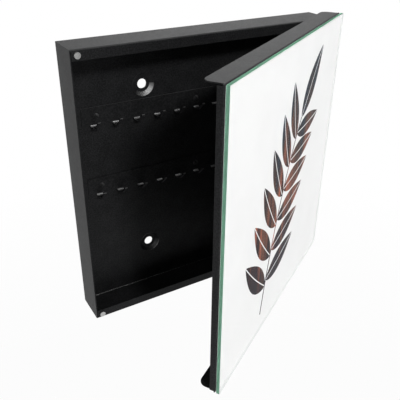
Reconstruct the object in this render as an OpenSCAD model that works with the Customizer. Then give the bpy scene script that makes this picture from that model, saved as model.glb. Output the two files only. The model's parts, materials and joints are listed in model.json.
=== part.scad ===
// Wall key box: folded steel case with two hook rails and a glass-fronted door on swan-neck hinges.
// Millimetres. +Z is up, the front faces -Y, and the wall is the plane y = 0.
// The origin is the centre of the four wall-screw holes, on the wall.

/* [Case] */
// Outer width of the case
case_w = 295; // [240:1:420]
// Outer height of the case
case_h = 295; // [260:1:420]
// Depth of the case, front edge to the rear of the back panel
case_d = 39; // [38:1:80]
// Thickness of the case sheet
case_t = 1; // [0.8:0.1:1.2]
// Height of the return lips along the top and bottom front edges
lip_h = 10; // [10:0.5:16]
// Gap between each end of a lip and the side wall
lip_gap = 0.4; // [0.2:0.1:1]
// Outer radius of the folded edges
bend_r = 1.5; // [1.3:0.1:3]

/* [Wall screws] */
// Distance between the screw holes across the case
screw_pitch_x = 125; // [80:1:160]
// Distance between the screw holes up the case
screw_pitch_z = 190; // [185:1:200]
// Diameter of each screw hole
screw_hole_d = 10; // [5:0.5:12]
// Diameter of the pressed dish around a screw hole, at the panel
dish_d = 24.5; // [22:0.5:28]
// Diameter of the flat floor of the dish
dish_floor_d = 17; // [14:0.5:19]
// Depth of the dish behind the back panel
dish_depth = 3; // [2.8:0.1:5]

/* [Hook rails] */
// Number of hooks on each rail
hook_count = 11; // [5:2:11]
// Distance between hooks
hook_pitch = 23.5; // [18:0.5:25]
// Offset of the rails from the middle of the case, away from the hinges where negative
rail_shift = -1; // [-5:0.5:5]
// Length of rail beyond the outermost hook's centre
rail_end = 12; // [5:0.5:12]
// Height of a rail, from its top edge down to the hook ledges
rail_h = 19.5; // [14:0.5:30]
// Thickness of the rail sheet
rail_t = 1; // [0.8:0.1:1.2]
// Height of the upper rail's top edge above the middle of the case
upper_rail_z = 80.5; // [60:0.5:82]
// Distance from the upper rail down to the lower rail
rail_step = 77; // [50:0.5:90]
// Width of a hook ledge
hook_w = 6.5; // [5:0.5:10]
// Forward reach of a hook ledge
hook_d = 6; // [5:0.5:9]
// Width of a hook's upturned tip
tip_w = 3; // [2:0.5:5]
// Length of a hook's upturned tip
tip_l = 12; // [6:0.5:13]
// Slope of a hook's tip
tip_angle = 45; // [30:5:70]
// Inner radius of the hook bends
hook_bend_r = 2; // [0.6:0.1:2.5]

/* [Rivets] */
// Height of a rail's rivets above its hook ledges
rail_rivet_up = 10; // [7:0.5:10.5]
// Inset of a rail's end rivets from its outermost hooks
rail_rivet_in = 3; // [0:0.5:5]
// Diameter of a rivet shank
rivet_d = 3.2; // [2.4:0.2:4]
// Diameter of a rivet head
rivet_head_d = 6; // [5:0.2:7]
// Height of a rivet head
rivet_head_h = 1.1; // [0.8:0.1:1.5]
// Diameter of a rivet's formed tail
rivet_tail_d = 5; // [4.4:0.2:6]
// Height of a rivet's formed tail
rivet_tail_h = 1.6; // [1:0.1:2]
// Radial clearance of a rivet in its hole
rivet_clear = 0.05; // [0.02:0.01:0.1]

/* [Magnets] */
// Diameter of a catch magnet
magnet_d = 6; // [4:0.2:6]
// Length of a catch magnet
magnet_l = 4; // [3:0.2:6]
// Distance of the magnets from the case's free side
magnet_in = 6.5; // [6:0.5:20]
// Gap left between a magnet and the closed door
magnet_gap = 0.2; // [0.1:0.05:0.4]
// Wall of the cup that holds a magnet
cup_wall = 0.8; // [0.6:0.1:0.9]
// Radial clearance of a magnet in its cup and lip hole
magnet_clear = 0.05; // [0.02:0.01:0.1]

/* [Door] */
// Gap between the case front and the closed door pan
catch_gap = 2; // [1.5:0.1:4]
// Gap between the door flanges and the case sides
door_clear = 1.7; // [0.8:0.1:3]
// Thickness of the door pan sheet
pan_t = 1; // [0.8:0.1:1.2]
// Depth of the top and bottom flanges, from the front of the pan
flange_d = 19.5; // [16:0.5:26]
// Depth of the side flanges, from the front of the pan
side_d = 6; // [4:0.5:8]
// Inset of the ends of the top and bottom flanges from the sides of the pan
ear_in = 2.3; // [1.5:0.1:4]
// Corner radius of the top and bottom flanges
ear_r = 7.5; // [3:0.5:9]
// Distance of the ends of the side flanges from the top or bottom of the pan
relief_h = 1.6; // [1.3:0.1:3]
// Overlap of the glass beyond the pan, negative where the pan stands out
glass_lap = -0.2; // [-1:0.1:2]
// Thickness of the glass
glass_t = 4; // [3:0.5:6]
// Chamfer along the glass edges
glass_arris = 0.4; // [0.2:0.1:0.8]
// Thickness of the white backing film
backing_t = 0.2; // [0.1:0.05:0.4]
// Inset of the backing film from the glass edge
backing_in = 0.8; // [0.5:0.1:3]
// Thickness of the bonding tape
tape_t = 0.4; // [0.3:0.1:1]
// Width of the bonding tape
tape_w = 15; // [8:1:25]
// Inset of the tape from the edge of the pan
tape_in = 8; // [4:1:20]
// Gap between the ends of neighbouring tapes
tape_gap = 2; // [1:0.5:5]
// Angle at which the door stands open
open_angle = 32; // [0:1:90]

/* [Hinge] */
// Distance of the pivot from the case's hinge side
pivot_in = 8; // [7.7:0.1:12]
// Distance of each hinge arm from the case's top or bottom
hinge_inset = 23.5; // [20:0.5:27]
// Thickness of the hinge arm
arm_t = 2.5; // [1.5:0.1:3]
// Width of the hinge arm
arm_w = 7; // [5:0.5:8]
// Clearance between the arm and the case wall when fully open
throat_clear = 2; // [1:0.5:4]
// Width of the arm's foot
foot_w = 20; // [19:0.5:28]
// Height of the arm's foot
foot_h = 16; // [15:0.5:18]
// Thickness of the hinge bracket
bracket_t = 1.5; // [1:0.1:1.5]
// Width of the bracket plate on the case wall
bracket_w = 13; // [10:0.5:14]
// Height of the bracket plate on the case wall
bracket_h = 31; // [29:0.5:34]
// Gap between the bracket and the back panel
bracket_clear = 1.5; // [1:0.5:8]
// Margin between a bracket rivet's head and the end of the bracket
bracket_margin = 1; // [0.5:0.5:1.5]
// Diameter of the hinge pin
pin_d = 4; // [3:0.1:4]
// Radial running clearance between pin and bush
run_clear = 0.04; // [0.02:0.01:0.08]
// Wall of the bush in the arm's eye
bush_wall = 1; // [0.8:0.1:1.1]
// Wall of the arm's eye around the bush
eye_wall = 1.9; // [1.2:0.1:2]
// Radial clearance of parts that are pushed together
seat_clear = 0.02; // [0.01:0.01:0.05]
// Thickness of the thrust washer
washer_t = 0.5; // [0.4:0.1:1]
// Outer diameter of the thrust washer
washer_d = 9; // [8:0.5:9.5]
// End play on each face of the arm
end_play = 0.15; // [0.1:0.05:0.3]
// Height of the pin's head
pin_head_h = 1.2; // [0.8:0.1:2]
// Overlap of the pin's head and clip beyond the pin
pin_head_lap = 1.5; // [1:0.1:2]
// Thickness of the clip on the pin's lower end
clip_t = 0.8; // [0.5:0.1:1.2]
// Diameter of the studs that carry the arm
stud_d = 4; // [3:0.5:4]
// Length of the studs
stud_l = 8; // [7:0.5:10]
// Distance between the two studs of an arm
stud_pitch = 10; // [9:0.5:11]
// Radial clearance of a stud in the arm's foot
stud_clear = 0.15; // [0.1:0.05:0.3]
// Width of a stud nut across its flats
nut_af = 7; // [5.5:0.5:7]
// Height of a stud nut
nut_h = 3.2; // [2.4:0.2:3.4]

/* [Hidden] */
$fn = 48;
UP = 1;
DOWN = -1;
LEFT = -1;
RIGHT = 1;
// How far a cut runs past a face, and how far joined shapes overlap
past = 1;
lap = 0.05;
least_fold_r = 0.2;
coat = "#26272a";
zinc = "#b9bcc0";
nickel = "#cfd2d4";
// Case planes
front_y = -(dish_depth + case_d);
rear_y = -dish_depth;
panel_y = rear_y - case_t;
in_x = case_w / 2 - case_t;
lip_z = case_h / 2 - lip_h;
fold_r = max(bend_r - case_t, least_fold_r);
// Hook rails
rail_y = panel_y - rail_t;
rail_l = (hook_count - 1) * hook_pitch + 2 * rail_end;
lower_rail_z = upper_rail_z - rail_step;
first_hook_x = rail_shift - (hook_count - 1) * hook_pitch / 2;
rail_rivet_pitch = (hook_count - 1) * hook_pitch / 2 - rail_rivet_in;
rail_rivet_x = [for (k = [-1 : 1]) rail_shift + k * rail_rivet_pitch];
// Magnets
magnet_x = magnet_in - case_w / 2;
magnet_z = case_h / 2 - lip_h / 2;
magnet_y = front_y - catch_gap + magnet_gap;
magnet_bore = magnet_d / 2 + magnet_clear;
cup_back_y = magnet_y + magnet_l + cup_wall;
// Door planes, with the door shut
pan_back_y = front_y - catch_gap;
pan_front_y = pan_back_y - pan_t;
tape_front_y = pan_front_y - tape_t;
backing_front_y = tape_front_y - backing_t;
pan_w = case_w + 2 * (door_clear + pan_t);
pan_h = case_h + 2 * (door_clear + pan_t);
pan_fold_r = max(bend_r - pan_t, least_fold_r);
glass_w = pan_w + 2 * glass_lap;
glass_h = pan_h + 2 * glass_lap;
// Hinge
pivot = [case_w / 2 - pivot_in, panel_y - bracket_clear - bracket_w / 2];
pivot_back = pivot[1] - front_y;
hinge_z = case_h / 2 - hinge_inset;
bush_bore = pin_d / 2 + run_clear;
bush_r = bush_bore + bush_wall;
eye_bore = bush_r + seat_clear;
eye_r = eye_bore + eye_wall;
throat = norm([pivot_in, pivot_back]) + throat_clear + arm_w / 2;
ear_top = arm_t / 2 + end_play;
ear_bottom = -(arm_t / 2 + end_play + washer_t);
bracket_x = in_x - bracket_t;
bracket_rivet_z = bracket_h / 2 - rivet_head_d / 2 - bracket_margin;
pin_head_r = pin_d / 2 + pin_head_lap;
foot_z = hinge_z + arm_t / 2 - foot_h / 2;
stud_z = foot_z - arm_t / 2;

// Rectangle with rounded corners, centred
module round_rect(w, h, r) {
    square([w - 2 * r, h], center = true);
    square([w, h - 2 * r], center = true);
    for (x = [-1, 1], y = [-1, 1])
        translate([x * (w / 2 - r), y * (h / 2 - r)])
            circle(r);
}

// Part of a ring between two angles, for a bend in sheet
module bend_arc(r, t, from, to) {
    reach = 2 * (r + t);
    wedge = [for (a = [from, (from + to) / 2, to]) reach * [cos(a), sin(a)]];
    intersection() {
        difference() {
            circle(r + t);
            circle(r);
        }
        polygon(concat([[0, 0]], wedge));
    }
}

// Prism along X of a profile drawn as [y, z], centred on x = 0
module along_x(length) {
    rotate([90, 0, 90])
        linear_extrude(length, center = true)
            children();
}

// Prism along Z of a profile drawn as [x, y], centred on z = 0
module along_z(length) {
    linear_extrude(length, center = true)
        children();
}

// Blind rivet on the Z axis: head above z = 0, tail below the grip
module rivet(grip) {
    dome_r = (pow(rivet_head_d / 2, 2) + pow(rivet_head_h, 2)) / (2 * rivet_head_h);
    rotate_extrude()
        difference() {
            union() {
                intersection() {
                    translate([0, rivet_head_h - dome_r])
                        circle(dome_r, $fn = 96);
                    square([rivet_head_d / 2, rivet_head_h]);
                }
                translate([0, -grip - rivet_tail_h])
                    square([rivet_d / 2, grip + rivet_tail_h + rivet_head_h / 2]);
                translate([0, -grip - rivet_tail_h])
                    square([rivet_tail_d / 2, rivet_tail_h]);
            }
            translate([-past, rivet_head_h / 2])
                square([past + rivet_d / 4, rivet_head_h]);
        }
}

// Block with the outside of the case, or with its inside where inset is the sheet
module case_block(inset, r) {
    reach = case_d + 2 * bend_r;
    intersection() {
        along_x(case_w - 2 * inset)
            translate([(front_y + rear_y) / 2, 0])
                round_rect(case_d - 2 * inset, case_h - 2 * inset, r);
        along_z(case_h)
            translate([0, rear_y - inset - reach / 2])
                round_rect(case_w - 2 * inset, reach, r);
    }
}

module at_screws() {
    for (x = [-1, 1], z = [-1, 1])
        translate([x * screw_pitch_x / 2, panel_y, z * screw_pitch_z / 2])
            rotate([-90, 0, 0])
                children();
}

// Pressed dish with its screw hole, on the Z axis, from the panel's front face backwards
module screw_dish() {
    rim = dish_d / 2;
    floor_r = dish_floor_d / 2;
    skirt = case_t * tan(atan2(dish_depth, rim - floor_r) / 2);
    hole_r = screw_hole_d / 2;
    rotate_extrude()
        polygon([
            [rim, 0], [floor_r, dish_depth], [hole_r, dish_depth], [hole_r, dish_depth + case_t],
            [floor_r + skirt, dish_depth + case_t], [rim + skirt, case_t]
        ]);
}

module at_rail_rivets(rail_z) {
    for (x = rail_rivet_x)
        translate([x, rail_y, rail_z - rail_h + rail_rivet_up])
            rotate([90, 0, 0])
                children();
}

module at_magnet(side) {
    translate([magnet_x, 0, side * magnet_z])
        rotate([-90, 0, 0])
            children();
}

module at_bracket_rivets(side) {
    for (z = [-1, 1])
        translate([case_w / 2, pivot[1], side * hinge_z + z * bracket_rivet_z])
            rotate([0, 90, 0])
                children();
}

module case_shell() {
    color(coat)
        difference() {
            union() {
                difference() {
                    case_block(0, bend_r);
                    case_block(case_t, fold_r);
                    translate([-in_x, front_y - past, -lip_z])
                        cube([2 * in_x, case_t + 2 * past, 2 * lip_z]);
                    at_screws()
                        translate([0, 0, -past])
                            cylinder(h = case_t + 2 * past, d = dish_d);
                }
                at_screws()
                    screw_dish();
            }
            for (x = [-in_x, in_x - lip_gap])
                translate([x, front_y - past, bend_r - case_h / 2])
                    cube([lip_gap, case_t + fold_r + past, case_h - 2 * bend_r]);
            for (rail_z = [upper_rail_z, lower_rail_z])
                at_rail_rivets(rail_z)
                    translate([0, 0, -rail_t - case_t - past])
                        cylinder(h = rail_t + case_t + 2 * past, r = rivet_d / 2 + rivet_clear);
            for (side = [UP, DOWN]) {
                at_magnet(side)
                    translate([0, 0, front_y - past])
                        cylinder(h = case_t + 2 * past, r = magnet_bore);
                at_bracket_rivets(side)
                    translate([0, 0, -case_t - past])
                        cylinder(h = case_t + 2 * past, r = rivet_d / 2 + rivet_clear);
            }
        }
}

// Side view of a hook, as [distance in front of the rail, height above the ledge]
module hook_ledge_outline() {
    translate([hook_bend_r, hook_bend_r])
        bend_arc(hook_bend_r, rail_t, 180, 270);
    translate([hook_bend_r, -rail_t])
        square([hook_d - hook_bend_r, rail_t]);
}

module hook_tip_outline() {
    translate([hook_d - hook_bend_r, -rail_t])
        square([hook_bend_r, rail_t]);
    translate([hook_d, hook_bend_r]) {
        bend_arc(hook_bend_r, rail_t, 270, 270 + tip_angle);
        rotate(tip_angle)
            translate([-lap, -hook_bend_r - rail_t])
                square([tip_l + lap, rail_t]);
    }
}

module hook_rail(rail_z) {
    ledge_z = rail_z - rail_h;
    color(coat)
        difference() {
            union() {
                translate([first_hook_x - rail_end, rail_y, ledge_z + hook_bend_r / 2])
                    cube([rail_l, rail_t, rail_h - hook_bend_r / 2]);
                for (k = [0 : hook_count - 1])
                    translate([first_hook_x + k * hook_pitch, rail_y, ledge_z])
                        rotate([90, 0, -90]) {
                            linear_extrude(hook_w, center = true)
                                hook_ledge_outline();
                            linear_extrude(tip_w, center = true)
                                hook_tip_outline();
                        }
            }
            at_rail_rivets(rail_z)
                translate([0, 0, -rail_t - past])
                    cylinder(h = rail_t + 2 * past, r = rivet_d / 2 + rivet_clear);
        }
}

module rail_rivets(rail_z) {
    color(coat)
        at_rail_rivets(rail_z)
            rivet(rail_t + case_t);
}

module catch_magnet(side) {
    color(nickel)
        at_magnet(side)
            translate([0, 0, magnet_y])
                cylinder(h = magnet_l, d = magnet_d);
}

// Cup behind a lip, with its front edge cut back to clear the fold of the lip
module magnet_cup(side) {
    cup_front_y = front_y + case_t;
    cup_r = magnet_bore + cup_wall;
    color("#17181a")
        at_magnet(side)
            difference() {
                union() {
                    translate([0, 0, cup_front_y])
                        cylinder(h = fold_r, r1 = cup_r - fold_r, r2 = cup_r);
                    translate([0, 0, cup_front_y + fold_r])
                        cylinder(h = cup_back_y - cup_front_y - fold_r, r = cup_r);
                }
                translate([0, 0, cup_front_y - past])
                    cylinder(h = magnet_y + magnet_l - cup_front_y + past, r = magnet_bore);
            }
}

module at_pivot(side) {
    translate([pivot[0], pivot[1], side * hinge_z])
        children();
}

// Ear of the hinge bracket, with its underside at z = 0
module bracket_ear() {
    linear_extrude(bracket_t)
        difference() {
            union() {
                circle(eye_r);
                translate([0, -bracket_w / 2])
                    square([bracket_x + bracket_t / 2 - pivot[0], bracket_w]);
            }
            circle(pin_d / 2 + seat_clear);
        }
}

module hinge_bracket(side) {
    color(zinc)
        difference() {
            union() {
                translate([bracket_x, pivot[1] - bracket_w / 2, side * hinge_z - bracket_h / 2])
                    cube([bracket_t, bracket_w, bracket_h]);
                at_pivot(side) {
                    translate([0, 0, ear_top])
                        bracket_ear();
                    translate([0, 0, ear_bottom - bracket_t])
                        bracket_ear();
                }
            }
            at_bracket_rivets(side)
                translate([0, 0, -case_t - bracket_t - past])
                    cylinder(h = bracket_t + 2 * past, r = rivet_d / 2 + rivet_clear);
        }
}

module bracket_rivets(side) {
    color(coat)
        at_bracket_rivets(side)
            rivet(case_t + bracket_t);
}

module hinge_pin(side) {
    lowest = ear_bottom - bracket_t - 2 * clip_t;
    color(zinc)
        at_pivot(side) {
            translate([0, 0, lowest])
                cylinder(h = ear_top + bracket_t - lowest + pin_head_h / 2, d = pin_d);
            translate([0, 0, ear_top + bracket_t])
                cylinder(h = pin_head_h, r = pin_head_r);
        }
}

// Flat ring on the pivot, with its underside at height z
module pivot_ring(side, z, h, r, bore) {
    at_pivot(side)
        translate([0, 0, z])
            difference() {
                cylinder(h = h, r = r);
                translate([0, 0, -past])
                    cylinder(h = h + 2 * past, r = bore);
            }
}

module pin_clip(side) {
    color(zinc)
        pivot_ring(side, ear_bottom - bracket_t - clip_t, clip_t, pin_head_r, pin_d / 2 + seat_clear);
}

module thrust_washer(side) {
    color("#e9e6dc")
        pivot_ring(side, ear_bottom, washer_t, washer_d / 2, pin_d / 2 + run_clear);
}

// Door pieces are drawn with the door shut, then swung to the angle at which it stands
module swung() {
    translate([pivot[0], pivot[1], 0])
        rotate(open_angle)
            translate([-pivot[0], -pivot[1], 0])
                children();
}

// Plan of the pan: folded front corners, side flanges, and rounded rear corners on its top and bottom flanges
module pan_plan() {
    reach = flange_d + 2 * ear_r;
    intersection() {
        translate([0, pan_front_y + reach / 2])
            round_rect(pan_w, reach, bend_r);
        union() {
            translate([-pan_w, pan_front_y - past])
                square([2 * pan_w, past + side_d]);
            translate([0, pan_front_y + flange_d - reach / 2])
                round_rect(pan_w - 2 * ear_in, reach, ear_r);
        }
    }
}

module door_pan() {
    reach = flange_d + 2 * bend_r;
    color(coat)
        swung()
            difference() {
                intersection() {
                    along_z(pan_h)
                        pan_plan();
                    along_x(pan_w)
                        translate([pan_front_y + reach / 2, 0])
                            round_rect(reach, pan_h, bend_r);
                }
                pan_cavity();
                corner_reliefs();
            }
}

// Room inside the pan, behind its front sheet
module pan_cavity() {
    depth = flange_d + 2 * past;
    intersection() {
        along_x(pan_w - 2 * pan_t)
            translate([pan_back_y + depth / 2, 0])
                round_rect(depth, pan_h - 2 * pan_t, pan_fold_r);
        along_z(pan_h)
            translate([0, pan_back_y + depth / 2])
                round_rect(pan_w - 2 * pan_t, depth, pan_fold_r);
    }
}

// Cuts that part the side flanges from the top and bottom flanges
module corner_reliefs() {
    for (x = [-1, 1], z = [-1, 1])
        translate([x * pan_w / 2, pan_back_y + pan_fold_r + flange_d / 2, z * pan_h / 2])
            cube([2 * ear_in, flange_d, 2 * relief_h], center = true);
}

module glass_panel() {
    middle_y = backing_front_y - glass_t / 2;
    color("#e9f2ee")
        swung()
            translate([0, middle_y, 0])
                hull() {
                    cube([glass_w, glass_t - 2 * glass_arris, glass_h], center = true);
                    cube([glass_w - 2 * glass_arris, glass_t, glass_h - 2 * glass_arris], center = true);
                }
}

module glass_backing() {
    color("white")
        swung()
            translate([0, backing_front_y + backing_t / 2, 0])
                cube([glass_w - 2 * backing_in, backing_t, glass_h - 2 * backing_in], center = true);
}

// Strip of bonding tape along one edge of the pan
module tape_strip(x, z, w, h) {
    color("#3a3a3c")
        swung()
            translate([x, tape_front_y + tape_t / 2, z])
                cube([w, tape_t, h], center = true);
}

module level_tape(side) {
    tape_strip(0, side * (pan_h / 2 - tape_in - tape_w / 2), pan_w - 2 * tape_in, tape_w);
}

module upright_tape(side) {
    height = pan_h - 2 * (tape_in + tape_w + tape_gap);
    tape_strip(side * (pan_w / 2 - tape_in - tape_w / 2), 0, tape_w, height);
}

// Places of an arm's two studs on the back of the pan, with the Z axis pointing into the case
module at_studs(side) {
    for (x = [-1, 1])
        translate([pivot[0] - throat + x * stud_pitch / 2, pan_back_y, side * stud_z])
            rotate([-90, 0, 0])
                children();
}

module arm_outline() {
    circle(eye_r);
    translate([-throat, -arm_w / 2])
        square([throat, arm_w]);
    translate([-throat, 0])
        circle(arm_w / 2);
    translate([-throat - arm_w / 2, pan_back_y - pivot[1]])
        square([arm_w, pivot[1] - pan_back_y]);
}

module hinge_arm(side) {
    color(zinc)
        swung()
            difference() {
                union() {
                    at_pivot(side)
                        along_z(arm_t)
                            difference() {
                                arm_outline();
                                circle(eye_bore);
                            }
                    translate([pivot[0] - throat, pan_back_y + arm_t / 2, side * foot_z])
                        cube([foot_w, arm_t, foot_h], center = true);
                }
                at_studs(side)
                    translate([0, 0, -past])
                        cylinder(h = arm_t + 2 * past, r = stud_d / 2 + stud_clear);
            }
}

module arm_bush(side) {
    color("#c9a35a")
        pivot_ring(side, -arm_t / 2, arm_t, bush_r, bush_bore);
}

module arm_studs(side) {
    color(zinc)
        swung()
            at_studs(side)
                cylinder(h = stud_l, d = stud_d);
}

module arm_nuts(side) {
    color(zinc)
        swung()
            at_studs(side)
                translate([0, 0, arm_t])
                    difference() {
                        cylinder(h = nut_h, d = nut_af / cos(30), $fn = 6);
                        translate([0, 0, -past])
                            cylinder(h = nut_h + 2 * past, r = stud_d / 2 + seat_clear);
                    }
}

case_shell();
hook_rail(upper_rail_z);  // upper_hook_rail
hook_rail(lower_rail_z);  // lower_hook_rail
rail_rivets(upper_rail_z);  // upper_rail_rivets
rail_rivets(lower_rail_z);  // lower_rail_rivets
catch_magnet(UP);  // upper_catch_magnet
catch_magnet(DOWN);  // lower_catch_magnet
magnet_cup(UP);  // upper_magnet_cup
magnet_cup(DOWN);  // lower_magnet_cup
hinge_bracket(UP);  // upper_hinge_bracket
hinge_bracket(DOWN);  // lower_hinge_bracket
bracket_rivets(UP);  // upper_bracket_rivets
bracket_rivets(DOWN);  // lower_bracket_rivets
hinge_pin(UP);  // upper_hinge_pin
hinge_pin(DOWN);  // lower_hinge_pin
pin_clip(UP);  // upper_pin_clip
pin_clip(DOWN);  // lower_pin_clip
thrust_washer(UP);  // upper_thrust_washer
thrust_washer(DOWN);  // lower_thrust_washer
door_pan();
glass_panel();
glass_backing();
level_tape(UP);  // top_tape
level_tape(DOWN);  // bottom_tape
upright_tape(LEFT);  // left_tape
upright_tape(RIGHT);  // right_tape
hinge_arm(UP);  // upper_hinge_arm
hinge_arm(DOWN);  // lower_hinge_arm
arm_bush(UP);  // upper_arm_bush
arm_bush(DOWN);  // lower_arm_bush
arm_studs(UP);  // upper_arm_studs
arm_studs(DOWN);  // lower_arm_studs
arm_nuts(UP);  // upper_arm_nuts
arm_nuts(DOWN);  // lower_arm_nuts
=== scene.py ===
"""Looks of the wall key box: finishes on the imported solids, the printed glass, the studio and the camera."""

import json
import math

import bmesh
import bpy
from mathutils import Matrix, Vector


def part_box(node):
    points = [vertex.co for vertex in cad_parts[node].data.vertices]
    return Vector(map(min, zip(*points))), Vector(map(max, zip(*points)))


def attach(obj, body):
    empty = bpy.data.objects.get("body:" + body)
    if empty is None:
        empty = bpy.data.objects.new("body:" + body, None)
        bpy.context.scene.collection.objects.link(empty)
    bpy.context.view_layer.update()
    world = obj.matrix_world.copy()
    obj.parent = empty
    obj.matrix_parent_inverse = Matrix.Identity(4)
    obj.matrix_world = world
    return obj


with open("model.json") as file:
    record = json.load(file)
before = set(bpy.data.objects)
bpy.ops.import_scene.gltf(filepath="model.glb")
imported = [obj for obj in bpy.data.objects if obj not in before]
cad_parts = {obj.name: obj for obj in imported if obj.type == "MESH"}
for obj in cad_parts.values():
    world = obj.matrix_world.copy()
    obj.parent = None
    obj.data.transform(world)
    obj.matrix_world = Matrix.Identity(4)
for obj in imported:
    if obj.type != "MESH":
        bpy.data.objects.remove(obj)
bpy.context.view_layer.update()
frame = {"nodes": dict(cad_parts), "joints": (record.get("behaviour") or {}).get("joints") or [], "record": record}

MM = 0.001
SHEET = 1 * MM
# Places on the case, measured along Y into the wall and along Z upwards
CASE_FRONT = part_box("case_shell")[0].y
PANEL_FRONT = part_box("upper_hook_rail")[1].y
RAIL_FRONT = PANEL_FRONT - SHEET
RAIL_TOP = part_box("upper_hook_rail")[1].z
# Directions of the open door: across it towards the hinges, and out of the glass
OPEN_ANGLE = math.radians(-frame["joints"][0]["range_deg"][0])
DOOR_ACROSS = Vector((math.cos(OPEN_ANGLE), math.sin(OPEN_ANGLE), 0))
DOOR_OUT = Vector((math.sin(OPEN_ANGLE), -math.cos(OPEN_ANGLE), 0))


def grey(level):
    return (level, level, level, 1)


def placed(name, data):
    """A new object in the scene that shows the given mesh, lamp or camera."""
    made = bpy.data.objects.new(name, data)
    bpy.context.scene.collection.objects.link(made)
    return made


class Finish:
    """A new material and short ways to add nodes to it."""

    def __init__(self, name):
        self.material = bpy.data.materials.new(name)
        self.material.use_nodes = True
        self.tree = self.material.node_tree
        self.surface = self.tree.nodes["Principled BSDF"]
        self.output = self.tree.nodes["Material Output"]
        self.place = self.add("ShaderNodeTexCoord").outputs["Object"]

    def add(self, kind, inputs=None, **settings):
        """A node with its settings; each input is set to a value or joined to a socket."""
        made = self.tree.nodes.new(kind)
        for name, value in settings.items():
            setattr(made, name, value)
        self.feed(made, inputs or {})
        return made

    def feed(self, made, inputs):
        """Values or sockets for a node's inputs."""
        for name, value in inputs.items():
            if isinstance(value, bpy.types.NodeSocket):
                self.tree.links.new(value, made.inputs[name])
            else:
                made.inputs[name].default_value = value

    def set(self, **inputs):
        """Inputs of the surface, with underscores in place of spaces."""
        self.feed(self.surface, {name.replace("_", " "): value for name, value in inputs.items()})

    def axis(self, kind, letter):
        """One axis of the object's own coordinates or normals."""
        whole = self.add("ShaderNodeTexCoord").outputs[kind]
        return self.add("ShaderNodeSeparateXYZ", {"Vector": whole}).outputs[letter]

    def noise(self, grain, detail=2.0, place=None, distortion=0.0):
        """Noise whose blotches are about grain metres across."""
        return self.add("ShaderNodeTexNoise", {
            "Vector": place or self.place, "Scale": 1 / grain, "Detail": detail, "Distortion": distortion,
        }).outputs["Fac"]

    def cells(self, grain):
        """Distance from the middle of the nearest of many cells, about grain metres across."""
        inputs = {"Vector": self.place, "Scale": 1 / grain}
        return self.add("ShaderNodeTexVoronoi", inputs).outputs["Distance"]

    def stretched(self, place, scale):
        """Coordinates scaled along each axis; a pattern grows long where the scale is small."""
        return self.add("ShaderNodeMapping", {"Vector": place, "Scale": scale}).outputs["Vector"]

    def spread(self, value, low, high, start=0.3, end=0.7):
        """A value that runs from low to high as the given one runs from start to end."""
        return self.add("ShaderNodeMapRange", {
            "Value": value, "From Min": start, "From Max": end, "To Min": low, "To Max": high,
        }).outputs["Result"]

    def ramp(self, value, stops):
        """Colours along a value, from a list of places and colours."""
        made = self.add("ShaderNodeValToRGB", {"Fac": value})
        points = made.color_ramp.elements
        while len(points) < len(stops):
            points.new(0.5)
        for point, (place, colour) in zip(points, stops):
            point.position = place
            point.color = (*colour, 1)
        return made.outputs["Color"]

    def mix(self, share, first, second, blend_type="MIX"):
        """Second colour laid over the first by a share."""
        return self.add("ShaderNodeMixRGB", {
            "Fac": share, "Color1": first, "Color2": second,
        }, blend_type=blend_type).outputs["Color"]

    def maths(self, operation, first, second):
        return self.add("ShaderNodeMath", {0: first, 1: second}, operation=operation).outputs[0]

    def bump(self, height, depth, strength=1.0, below=None):
        """Normal of a surface with relief of the given depth in metres."""
        inputs = {"Height": height, "Distance": depth, "Strength": strength}
        if below:
            inputs["Normal"] = below
        return self.add("ShaderNodeBump", inputs).outputs["Normal"]

    def edges(self, radius):
        """Share that rises from 0 on faces to 1 along edges, within the given radius."""
        soft = self.add("ShaderNodeBevel", {"Radius": radius}, samples=4).outputs["Normal"]
        face = self.add("ShaderNodeNewGeometry").outputs["Normal"]
        turn = self.add("ShaderNodeVectorMath", {0: soft, 1: face}, operation="DOT_PRODUCT")
        return self.spread(turn.outputs["Value"], 0.0, 1.0, start=0.995, end=0.85)


def bend_and_dish_highlight(coat):
    """Share of painted highlight on the case's bends and dish sides, where they face up or left, laid as smoother
    bare steel.

    Their normals lie along no axis. The painted highlight is strongest on the bends at the back and on the upper
    dishes.
    """
    x, y, z = (coat.axis("Normal", letter) for letter in "XYZ")
    sizes = [coat.maths("ABSOLUTE", part, 0.0) for part in (x, y, z)]
    largest = coat.maths("MAXIMUM", coat.maths("MAXIMUM", sizes[0], sizes[1]), sizes[2])
    turned = coat.spread(largest, 1.0, 0.0, 0.88, 0.97)
    # Painted highlight: sides that face up or left, towards the light, get the most
    up_or_left = coat.maths("SUBTRACT", z, coat.maths("MULTIPLY", x, 0.45))
    facing = coat.spread(up_or_left, 0.0, 1.0, 0.22, 0.60)
    depth = coat.axis("Object", "Y")
    bends = coat.spread(depth, 0.15, 0.85, CASE_FRONT, PANEL_FRONT)
    dishes = coat.spread(coat.axis("Object", "Z"), 0.2, 1.0, -60 * MM, 60 * MM)
    share = coat.spread(depth, bends, dishes, PANEL_FRONT, PANEL_FRONT + 0.3 * MM)
    wear_and_highlight = coat.maths("MULTIPLY", coat.maths("MULTIPLY", turned, facing), share)
    return coat.maths("MULTIPLY", wear_and_highlight, coat.spread(coat.noise(9 * MM), 0.7, 1.0))


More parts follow.
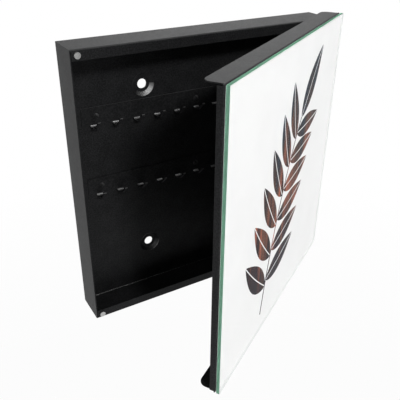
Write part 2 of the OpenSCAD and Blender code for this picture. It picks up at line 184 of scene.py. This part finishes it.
def hook_wear_and_highlight(coat):
    """Share of bare steel on a rail, on upward faces only: wear with a painted highlight on the hook ledges and
    tips, and a painted highlight along the upper rail's top edge.
    """
    depth = coat.axis("Object", "Y")
    # Only faces turned upwards take it, where the light falls on them
    upward = coat.spread(coat.axis("Normal", "Z"), 0.0, 1.0, 0.02, 0.1)
    ahead = coat.spread(depth, 0.0, 1.0, RAIL_FRONT, RAIL_FRONT - 0.4 * MM)
    near = coat.spread(depth, 1.0, 0.0, RAIL_FRONT - 2.4 * MM, RAIL_FRONT - 3.2 * MM)
    patchy = coat.spread(coat.noise(9 * MM), 0.45, 0.95)
    ledge = coat.maths("MULTIPLY", coat.maths("MULTIPLY", ahead, near), patchy)
    tip = coat.spread(depth, 0.0, 0.2, RAIL_FRONT - 13 * MM, RAIL_FRONT - 15 * MM)
    # The upper rail's paler top edge is a painted highlight of light from above
    top = coat.spread(coat.axis("Object", "Z"), 0.0, 0.3, RAIL_TOP - 0.3 * MM, RAIL_TOP - 0.1 * MM)
    share = coat.maths("ADD", coat.maths("ADD", ledge, tip), top)
    return coat.maths("MULTIPLY", share, upward)


def rivet_highlight(coat):
    """Share of painted highlight on the rivet heads, laid as bare steel on the sides that face up and towards the
    hinges.
    """
    x, z = (coat.axis("Normal", letter) for letter in "XZ")
    return coat.spread(coat.maths("ADD", x, coat.maths("MULTIPLY", z, 0.6)), 0.0, 0.3, 0.15, 0.45)


def powder_coat(name, steel_wear_and_highlight=None, polish=0.0, steel=0.42, gloss=0.105):
    """Satin anthracite powder coat with a fine texture, paler along its edges.

    Where the given share function marks it, the coat turns to steel of the given grey, smoother by polish: wear in
    some places, a painted highlight in others.
    """
    coat = Finish(name)
    grit = coat.noise(0.5 * MM, detail=3)
    speck = coat.noise(1.4 * MM, detail=1)
    blotch = coat.noise(14 * MM, detail=4)
    peel = coat.noise(2.2 * MM, detail=2)
    edge = coat.maths("MULTIPLY", coat.edges(0.5 * MM), coat.spread(coat.noise(4 * MM), 0.1, 0.7))
    tone = coat.maths("ADD", coat.maths("MULTIPLY", speck, 0.7), coat.maths("MULTIPLY", blotch, 0.3))
    dark = coat.ramp(tone, [
        (0.35, (0.0225, 0.0230, 0.0240)),
        (0.50, (0.0345, 0.0350, 0.0365)),
        (0.65, (0.0500, 0.0508, 0.0528)),
    ])
    colour = coat.mix(edge, dark, (0.075, 0.076, 0.078, 1))
    roughness = coat.spread(speck, 0.40, 0.55)
    # Bare steel where the share says: partly wear, partly a painted highlight
    if steel_wear_and_highlight:
        wear_and_highlight = steel_wear_and_highlight(coat)
        colour = coat.mix(wear_and_highlight, colour, grey(steel))
        roughness = coat.maths("SUBTRACT", roughness, coat.spread(wear_and_highlight, 0.0, polish, 0.0, 0.3))
        coat.set(Metallic=wear_and_highlight)
    coat.set(
        Base_Color=colour,
        Roughness=roughness,
        Specular_IOR_Level=gloss,
        Normal=coat.bump(peel, 0.08 * MM, 1.0, below=coat.bump(grit, 0.03 * MM, 0.4)),
    )
    return coat.material


def clear_glass():
    """Clear float glass, coated against glare, so its index is low and its reflection dim."""
    glass = Finish("clear_glass")
    smear = glass.noise(60 * MM, detail=3)
    glass.set(
        Base_Color=(0.992, 0.994, 0.992, 1),
        Roughness=glass.spread(smear, 0.0, 0.006),
        IOR=1.07,
        Transmission_Weight=1.0,
        Specular_Tint=grey(0.02),
    )
    clear = glass.add("ShaderNodeBsdfTransparent", {"Color": (0.98, 0.983, 0.981, 1)}).outputs["BSDF"]
    shadow = glass.add("ShaderNodeLightPath").outputs["Is Shadow Ray"]
    panes = glass.add("ShaderNodeMixShader", {0: shadow, 1: glass.surface.outputs["BSDF"], 2: clear})
    glass.feed(glass.output, {"Surface": panes.outputs[0]})
    return glass.material


def ground_edge_painted_glow():
    """Ground glass edge: green with fine streaks, letting some light through; its pale bright green is painted
    light, standing for light carried inside the glass to its edge.
    """
    edge = Finish("ground_edge_painted_glow")
    streaks = edge.noise(1.2 * MM, detail=3)
    edge.set(
        Base_Color=edge.ramp(streaks, [(0.3, (0.47, 0.91, 0.67)), (0.7, (0.55, 0.97, 0.75))]),
        Roughness=edge.spread(streaks, 0.60, 0.80),
        IOR=1.12,
        Transmission_Weight=0.45,
        Specular_Tint=grey(0.02),
        Normal=edge.bump(streaks, 0.02 * MM, 0.4),
    )
    return edge.material


def edge_inside_painted_reflection():
    """Inner side of the ground edge, painted near-white: a painted reflection of the white film, seen back through
    the glass.
    """
    inside = Finish("edge_inside_painted_reflection")
    streaks = inside.noise(1.2 * MM, detail=3)
    inside.set(
        Base_Color=inside.ramp(streaks, [(0.3, (0.80, 0.82, 0.81)), (0.7, (0.85, 0.87, 0.86))]),
        Roughness=inside.spread(streaks, 0.60, 0.80),
        Specular_IOR_Level=0.0,
    )
    return inside.material


def white_film():
    """White film with the faint unevenness of printed ink; stuck to the glass, it has no gloss of its own."""
    film = Finish("white_film")
    tone = film.noise(35 * MM, detail=4)
    film.set(
        Base_Color=film.ramp(tone, [(0.3, (0.788, 0.788, 0.788)), (0.7, (0.808, 0.808, 0.808))]),
        Roughness=film.spread(film.noise(2 * MM), 0.32, 0.42),
        Specular_IOR_Level=0.0,
        Normal=film.bump(film.noise(0.8 * MM), 0.01 * MM, 0.4),
    )
    return film.material


def foam_tape():
    """Matt black foam with fine cells."""
    foam = Finish("foam_tape")
    cells = foam.cells(0.5 * MM)
    foam.set(
        Base_Color=foam.ramp(cells, [(0.1, (0.018, 0.018, 0.019)), (0.8, (0.050, 0.050, 0.052))]),
        Roughness=foam.spread(cells, 0.80, 0.95, start=0.0, end=0.8),
        Normal=foam.bump(cells, 0.12 * MM, 0.8),
    )
    return foam.material


def nickel():
    """Bright nickel plate with hairline scratches."""
    plate = Finish("nickel")
    scratch = plate.noise(0.9 * MM, detail=4, place=plate.stretched(plate.place, (1, 1, 14)))
    plate.set(
        Base_Color=plate.ramp(plate.noise(2 * MM), [(0.3, (0.40, 0.40, 0.395)), (0.7, (0.48, 0.48, 0.475))]),
        Metallic=1.0,
        Roughness=plate.spread(scratch, 0.22, 0.36),
        Normal=plate.bump(scratch, 0.01 * MM, 0.5),
    )
    return plate.material


def moulded(name, dark, pale):
    """Plastic with the fine grain of a sparked mould."""
    plastic = Finish(name)
    grain = plastic.noise(0.35 * MM, detail=2)
    plastic.set(
        Base_Color=plastic.ramp(plastic.noise(3 * MM), [(0.3, dark), (0.7, pale)]),
        Roughness=plastic.spread(grain, 0.42, 0.60),
        Normal=plastic.bump(grain, 0.03 * MM, 0.5),
    )
    return plastic.material


def bronze():
    """Sintered bronze: dull gold with dark pores."""
    bush = Finish("bronze")
    pores = bush.cells(0.4 * MM)
    bush.set(
        Base_Color=bush.ramp(pores, [(0.05, (0.20, 0.12, 0.05)), (0.25, (0.58, 0.42, 0.20))]),
        Metallic=1.0,
        Roughness=bush.spread(bush.noise(1.5 * MM), 0.36, 0.52),
        Normal=bush.bump(pores, 0.04 * MM, 0.6),
    )
    return bush.material


def zinc_steel():
    """Zinc plate: pale grey with faint cloudy patches and a brushed grain."""
    zinc = Finish("zinc_steel")
    cloud = zinc.noise(6 * MM, detail=4)
    brushed = zinc.noise(1.0 * MM, detail=3, place=zinc.stretched(zinc.place, (1, 1, 10)))
    zinc.set(
        Base_Color=zinc.ramp(cloud, [(0.3, (0.46, 0.47, 0.49)), (0.7, (0.58, 0.59, 0.60))]),
        Metallic=1.0,
        Roughness=zinc.spread(brushed, 0.30, 0.46),
        Normal=zinc.bump(brushed, 0.02 * MM, 0.5),
    )
    return zinc.material


def grained_ink():
    """Ink with a long upright grain: slate blue above, brown and copper in the middle, dark violet below."""
    ink = Finish("grained_ink")
    door = ink.add("ShaderNodeVectorRotate", {
        "Vector": ink.place, "Angle": -OPEN_ANGLE, "Axis": (0, 0, 1),
    }, rotation_type="AXIS_ANGLE").outputs["Vector"]
    long_grain = ink.stretched(door, (1, 1, 0.05))
    fine = ink.noise(5 * MM, detail=6, place=long_grain, distortion=0.5)
    broad = ink.noise(15 * MM, detail=3, place=long_grain, distortion=0.8)
    height = ink.add("ShaderNodeSeparateXYZ", {"Vector": door}).outputs["Z"]
    rise = ink.spread(height, 0.0, 1.0, start=-130 * MM, end=130 * MM)
    tone = ink.ramp(ink.maths("ADD", rise, ink.spread(broad, -0.22, 0.22)), [
        (0.05, (0.008, 0.005, 0.014)),
        (0.28, (0.024, 0.010, 0.012)),
        (0.45, (0.200, 0.068, 0.040)),
        (0.62, (0.070, 0.034, 0.026)),
        (0.80, (0.008, 0.018, 0.032)),
        (1.00, (0.014, 0.032, 0.054)),
    ])
    streaks = ink.ramp(fine, [
        (0.32, (0.15, 0.15, 0.16)),
        (0.46, (0.70, 0.70, 0.72)),
        (0.58, (1.00, 0.97, 0.94)),
        (0.72, (2.80, 2.10, 1.75)),
    ])
    ink.set(
        Base_Color=ink.mix(1.0, tone, streaks, "MULTIPLY"),
        Roughness=ink.spread(fine, 0.30, 0.45),
        Specular_IOR_Level=0.0,
    )
    return ink.material


FINISHES = {
    "powder_coat": powder_coat("powder_coat"),
    "clear_glass": clear_glass(),
    "white_film": white_film(),
    "foam_tape": foam_tape(),
    "nickel": nickel(),
    "black_plastic": moulded("black_plastic", (0.014, 0.014, 0.015), (0.026, 0.026, 0.027)),
    "white_plastic": moulded("white_plastic", (0.74, 0.72, 0.66), (0.82, 0.80, 0.75)),
    "bronze": bronze(),
    "zinc_steel": zinc_steel(),
}

# Nodes of the coated sheet that have wear, painted highlights or gloss of their own
rail_coat = powder_coat("rail_coat", hook_wear_and_highlight, polish=0.05, steel=0.62)
rivet_coat = powder_coat("rivet_coat", rivet_highlight)
OWN_COATS = {
    "case_shell": powder_coat("case_coat", bend_and_dish_highlight, polish=0.22),
    "door_pan": powder_coat("door_coat", gloss=0.132),
    "upper_hook_rail": rail_coat,
    "lower_hook_rail": rail_coat,
    "upper_rail_rivets": rivet_coat,
    "lower_rail_rivets": rivet_coat,
}

for subpart in frame["record"]["subparts"]:
    node = subpart["node"]
    slots = frame["nodes"][node].data.materials
    slots.clear()
    slots.append(OWN_COATS.get(node, FINISHES[subpart["material_slot"]]))

# The film lies a hair deep in the back of the glass, so that no two faces share a plane
stuck = frame["nodes"]["glass_backing"].modifiers.new("stuck", "DISPLACE")
stuck.strength = 0.02 * MM
stuck.mid_level = 0.0


def thickness_of(node):
    """Thickness of a flat door node, along the way out of the glass."""
    depths = [DOOR_OUT.dot(corner.co) for corner in frame["nodes"][node].data.vertices]
    return max(depths) - min(depths)


def middle_of(node):
    lo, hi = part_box(node)
    return (lo + hi) / 2


class DoorPrint:
    """A thin printed layer on the back of the glass, drawn in millimetres from the door's centre."""

    THICKNESS = 0.06 * MM

    def __init__(self):
        self.origin = middle_of("glass_backing") + DOOR_OUT * thickness_of("glass_backing") / 2
        self.points = []
        self.faces = []

    def at(self, across, up, layer):
        """Place of a point of the drawing, on the print's back (layer 0) or front (layer 1)."""
        flat = DOOR_ACROSS * across * MM + Vector((0, 0, up * MM))
        return self.origin + flat + DOOR_OUT * layer * self.THICKNESS

    def band(self, left, right):
        """A closed strip between two lines of as many points."""
        first = len(self.points)
        count = len(left)
        for (xa, za), (xb, zb) in zip(left, right):
            self.points += [self.at(xa, za, 0), self.at(xb, zb, 0), self.at(xa, za, 1), self.at(xb, zb, 1)]
        for i in range(count - 1):
            a = first + 4 * i
            b = a + 4
            self.faces += [(a, b, b + 1, a + 1), (a + 2, a + 3, b + 3, b + 2),
                           (a, a + 2, b + 2, b), (a + 1, b + 1, b + 3, a + 3)]
        end = first + 4 * (count - 1)
        self.faces += [(first, first + 1, first + 3, first + 2), (end, end + 2, end + 3, end + 1)]

    def piece(self, name, material):
        mesh = bpy.data.meshes.new(name)
        mesh.from_pydata(self.points, [], self.faces)
        mesh.validate()
        mesh.materials.append(material)
        return placed(name, mesh)


def along(line, share):
    """Point and direction at a share of a curved line, given by its two ends and the pull between them."""
    a, pull, b = (Vector(p) for p in line)
    point = a * (1 - share) ** 2 + pull * 2 * share * (1 - share) + b * share ** 2
    return point, ((pull - a) * (1 - share) + (b - pull) * share).normalized()


def strip(line, widths, offset=0.0):
    """Two edges of a strip along a curved line: from offset out to each width, on the line's left."""
    inner, outer = [], []
    for i, width in enumerate(widths):
        point, way = along(line, i / (len(widths) - 1))
        side = Vector((-way.y, way.x))
        inner.append(point + side * offset)
        outer.append(point + side * width)
    return inner, outer


def leaf_sprig():
    """A leaning sprig of pointed leaves in pairs up its stem, with one at the end."""
    drawn = DoorPrint()
    steps = 24
    ticks = [i / steps for i in range(steps + 1)]

    stem = ((-46, -132), (-20, -10), (36, 66))
    stem_left, stem_taper, stem_right = 1.6, 0.7, -1.0
    drawn.band(*strip(stem, [stem_left - stem_taper * t for t in ticks], offset=stem_right))

    # Each leaf: its share of the way up the stem, its turn from the stem in degrees and its length
    leaves = [(1.0, -4, 74)]
    pairs, lowest, span = 6, 0.14, 0.74
    for k in range(pairs):
        share = lowest + span * k / (pairs - 1)
        length = 80 - 20 * share
        leaves += [(share, 66 - 14 * share, length), (share + 0.03, 14 * share - 70, length)]

    # A leaf is two halves with a bare vein between them; it swells below its middle and bends at its tip
    vein, half_width, pull, bend = 0.6, 0.17, 0.55, 0.10
    swell = [math.sin(math.pi * t ** 0.8) ** 0.9 if 0 < t < 1 else 0.0 for t in ticks]
    for share, turn, length in leaves:
        base, way = along(stem, share)
        lead = Matrix.Rotation(math.radians(turn), 2) @ way
        line = (base, base + lead * pull * length, base + lead * length + way * bend * length)
        for hand in (1, -1):
            widths = [hand * (vein + half_width * length * s) for s in swell]
            drawn.band(*strip(line, widths, offset=hand * vein))
    return drawn.piece("leaf_print", grained_ink())


leaf_print = leaf_sprig()
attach(leaf_print, "door")


def glass_rim():
    """The ground edge of the glass, a thin skin sunk a little into its rim."""
    sunk, thick = 0.02 * MM, 0.05 * MM
    skin = bmesh.new()
    skin.from_mesh(frame["nodes"]["glass_panel"].data)
    flats = [face for face in skin.faces if abs(face.normal.dot(DOOR_OUT)) > 0.5]
    bmesh.ops.delete(skin, geom=flats, context="FACES")
    skin.normal_update()
    for corner in skin.verts:
        corner.co -= corner.normal * sunk
    bmesh.ops.solidify(skin, geom=skin.faces[:], thickness=-thick)
    bmesh.ops.recalc_face_normals(skin, faces=skin.faces[:])
    middle = middle_of("glass_panel")
    # Faces turned into the glass take the near-white painted reflection of the film; faces turned out take the
    # painted-glow green
    for face in skin.faces:
        inward = face.normal.dot(face.calc_center_median() - middle) < 0
        face.material_index = 1 if inward else 0
    mesh = bpy.data.meshes.new("glass_edge")
    skin.to_mesh(mesh)
    skin.free()
    mesh.materials.append(ground_edge_painted_glow())
    mesh.materials.append(edge_inside_painted_reflection())
    return placed("glass_edge", mesh)


glass_edge = glass_rim()
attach(glass_edge, "door")


def seen_directly(tree):
    """1 where a ray comes from the camera, a mirror or glass, so that these see plain white surroundings."""
    path = tree.nodes.new("ShaderNodeLightPath")
    total = path.outputs["Is Camera Ray"]
    for name in ("Is Glossy Ray", "Is Transmission Ray"):
        joined = tree.nodes.new("ShaderNodeMath")
        joined.operation = "MAXIMUM"
        tree.links.new(total, joined.inputs[0])
        tree.links.new(path.outputs[name], joined.inputs[1])
        total = joined.outputs[0]
    return total


def studio_world(ambient):
    """White surroundings that light the object only by the given strength."""
    world = bpy.data.worlds.new("studio")
    world.use_nodes = True
    tree = world.node_tree
    soft = tree.nodes["Background"]
    white = tree.nodes.new("ShaderNodeBackground")
    for background, strength in ((soft, ambient), (white, 1)):
        background.inputs["Color"].default_value = grey(1)
        background.inputs["Strength"].default_value = strength
    both = tree.nodes.new("ShaderNodeMixShader")
    tree.links.new(seen_directly(tree), both.inputs[0])
    tree.links.new(soft.outputs[0], both.inputs[1])
    tree.links.new(white.outputs[0], both.inputs[2])
    tree.links.new(both.outputs[0], tree.nodes["World Output"].inputs["Surface"])
    bpy.context.scene.world = world


def studio_floor(height, radius, whiteness, sides=64):
    """A pale floor well below the box, which fades into the white surroundings.

    Seen directly it is white by the given share, and the rest of it takes light and shadow.
    """
    angles = [2 * math.pi * i / sides for i in range(sides)]
    rim = [(radius * math.cos(a), radius * math.sin(a), height) for a in angles]
    mesh = bpy.data.meshes.new("floor")
    mesh.from_pydata(rim, [], [list(range(sides))])
    pale = Finish("floor")
    pale.set(Base_Color=grey(0.82), Roughness=0.9, Specular_IOR_Level=0.1)
    white = pale.add("ShaderNodeEmission", {"Color": grey(1), "Strength": 1.0}).outputs[0]
    share = pale.maths("MULTIPLY", seen_directly(pale.tree), whiteness)
    lit = pale.add("ShaderNodeMixShader", {0: share, 1: pale.surface.outputs[0], 2: white}).outputs[0]
    clear = pale.add("ShaderNodeBsdfTransparent").outputs[0]
    flat = pale.add("ShaderNodeVectorMath", {0: pale.place, 1: (1, 1, 0)}, operation="MULTIPLY").outputs[0]
    reach = pale.add("ShaderNodeVectorMath", {0: flat}, operation="LENGTH").outputs["Value"]
    fade = pale.spread(reach, 0.0, 1.0, start=0.45 * radius, end=0.98 * radius)
    faded = pale.add("ShaderNodeMixShader", {0: fade, 1: lit, 2: clear}).outputs[0]
    pale.feed(pale.output, {"Surface": faded})
    mesh.materials.append(pale.material)
    placed("floor", mesh)


def softbox(name, place, size, power):
    """A round soft lamp that points at the middle of the open box."""
    aim = Vector((0, -0.08, 0))
    lamp = bpy.data.lights.new(name, "AREA")
    lamp.shape = "DISK"
    lamp.size = size
    lamp.energy = power
    made = placed(name, lamp)
    made.location = place
    made.rotation_euler = (aim - Vector(place)).to_track_quat("-Z", "Y").to_euler()


def photo_camera():
    """A camera at the photograph's viewing angle, placed and turned as solved from the box's edges."""
    place = (-0.29321, -0.50281, 0.26543)
    heading, tilt, roll = (math.radians(a) for a in (30.97, 60.92, 0.59))
    lens = bpy.data.cameras.new("camera")
    lens.lens = 49.81
    lens.sensor_width = 36
    camera = placed("camera", lens)
    camera.matrix_world = (
        Matrix.Translation(place)
        @ Matrix.Rotation(-heading, 4, "Z")
        @ Matrix.Rotation(tilt, 4, "X")
        @ Matrix.Rotation(roll, 4, "Z")
    )
    return camera


studio_world(ambient=0.05)
studio_floor(height=-1.2, radius=2.4, whiteness=0.97)
softbox("key_light", place=(0.46, -1.10, 0.98), size=0.2, power=0.8)
softbox("front_light", place=(-0.12, -1.45, 1.05), size=0.25, power=5.75)
softbox("low_light", place=(-0.25, -1.60, -0.45), size=0.8, power=1.7)
softbox("back_light", place=(0.72, 1.15, 0.8), size=1.0, power=1.9)

bpy.context.scene.camera = photo_camera()
bpy.context.scene.view_settings.view_transform = "Standard"
